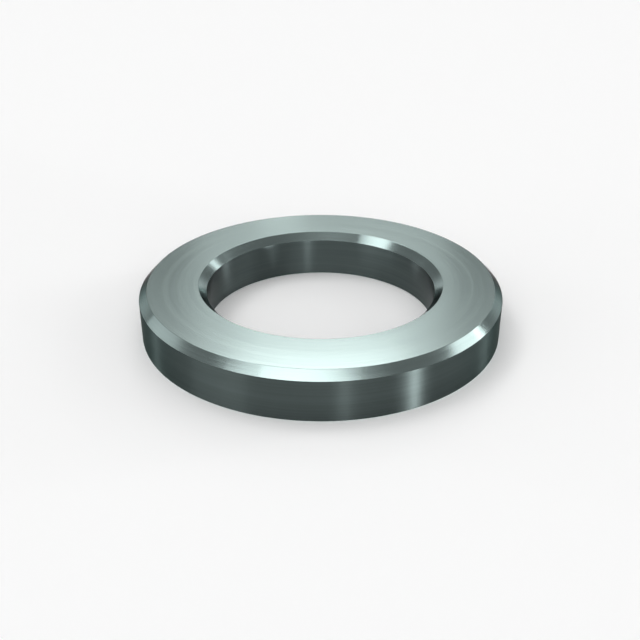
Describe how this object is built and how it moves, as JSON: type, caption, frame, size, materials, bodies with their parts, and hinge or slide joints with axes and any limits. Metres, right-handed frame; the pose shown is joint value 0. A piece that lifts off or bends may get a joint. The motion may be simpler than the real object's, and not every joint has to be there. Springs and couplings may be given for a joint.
{
  "type": "chamfered washer",
  "caption": "Thick round steel washer with a plain bore, chamfered on its upper outside edge and at the upper mouth of the bore; spreads a bolt's clamping load.",
  "frame": {"origin": "centre of the lower bearing face, on the bore axis", "axes": "+Z along the bore axis, from the plain lower face to the chamfered upper face"},
  "size_m": [0.03, 0.03, 0.004],
  "materials": {
    "steel": "bright turned steel with a cool grey-green cast: light satin faces and chamfers, darker rim and bore"
  },
  "bodies": {
    "root": {"washer": "steel"}
  },
  "joints": []
}
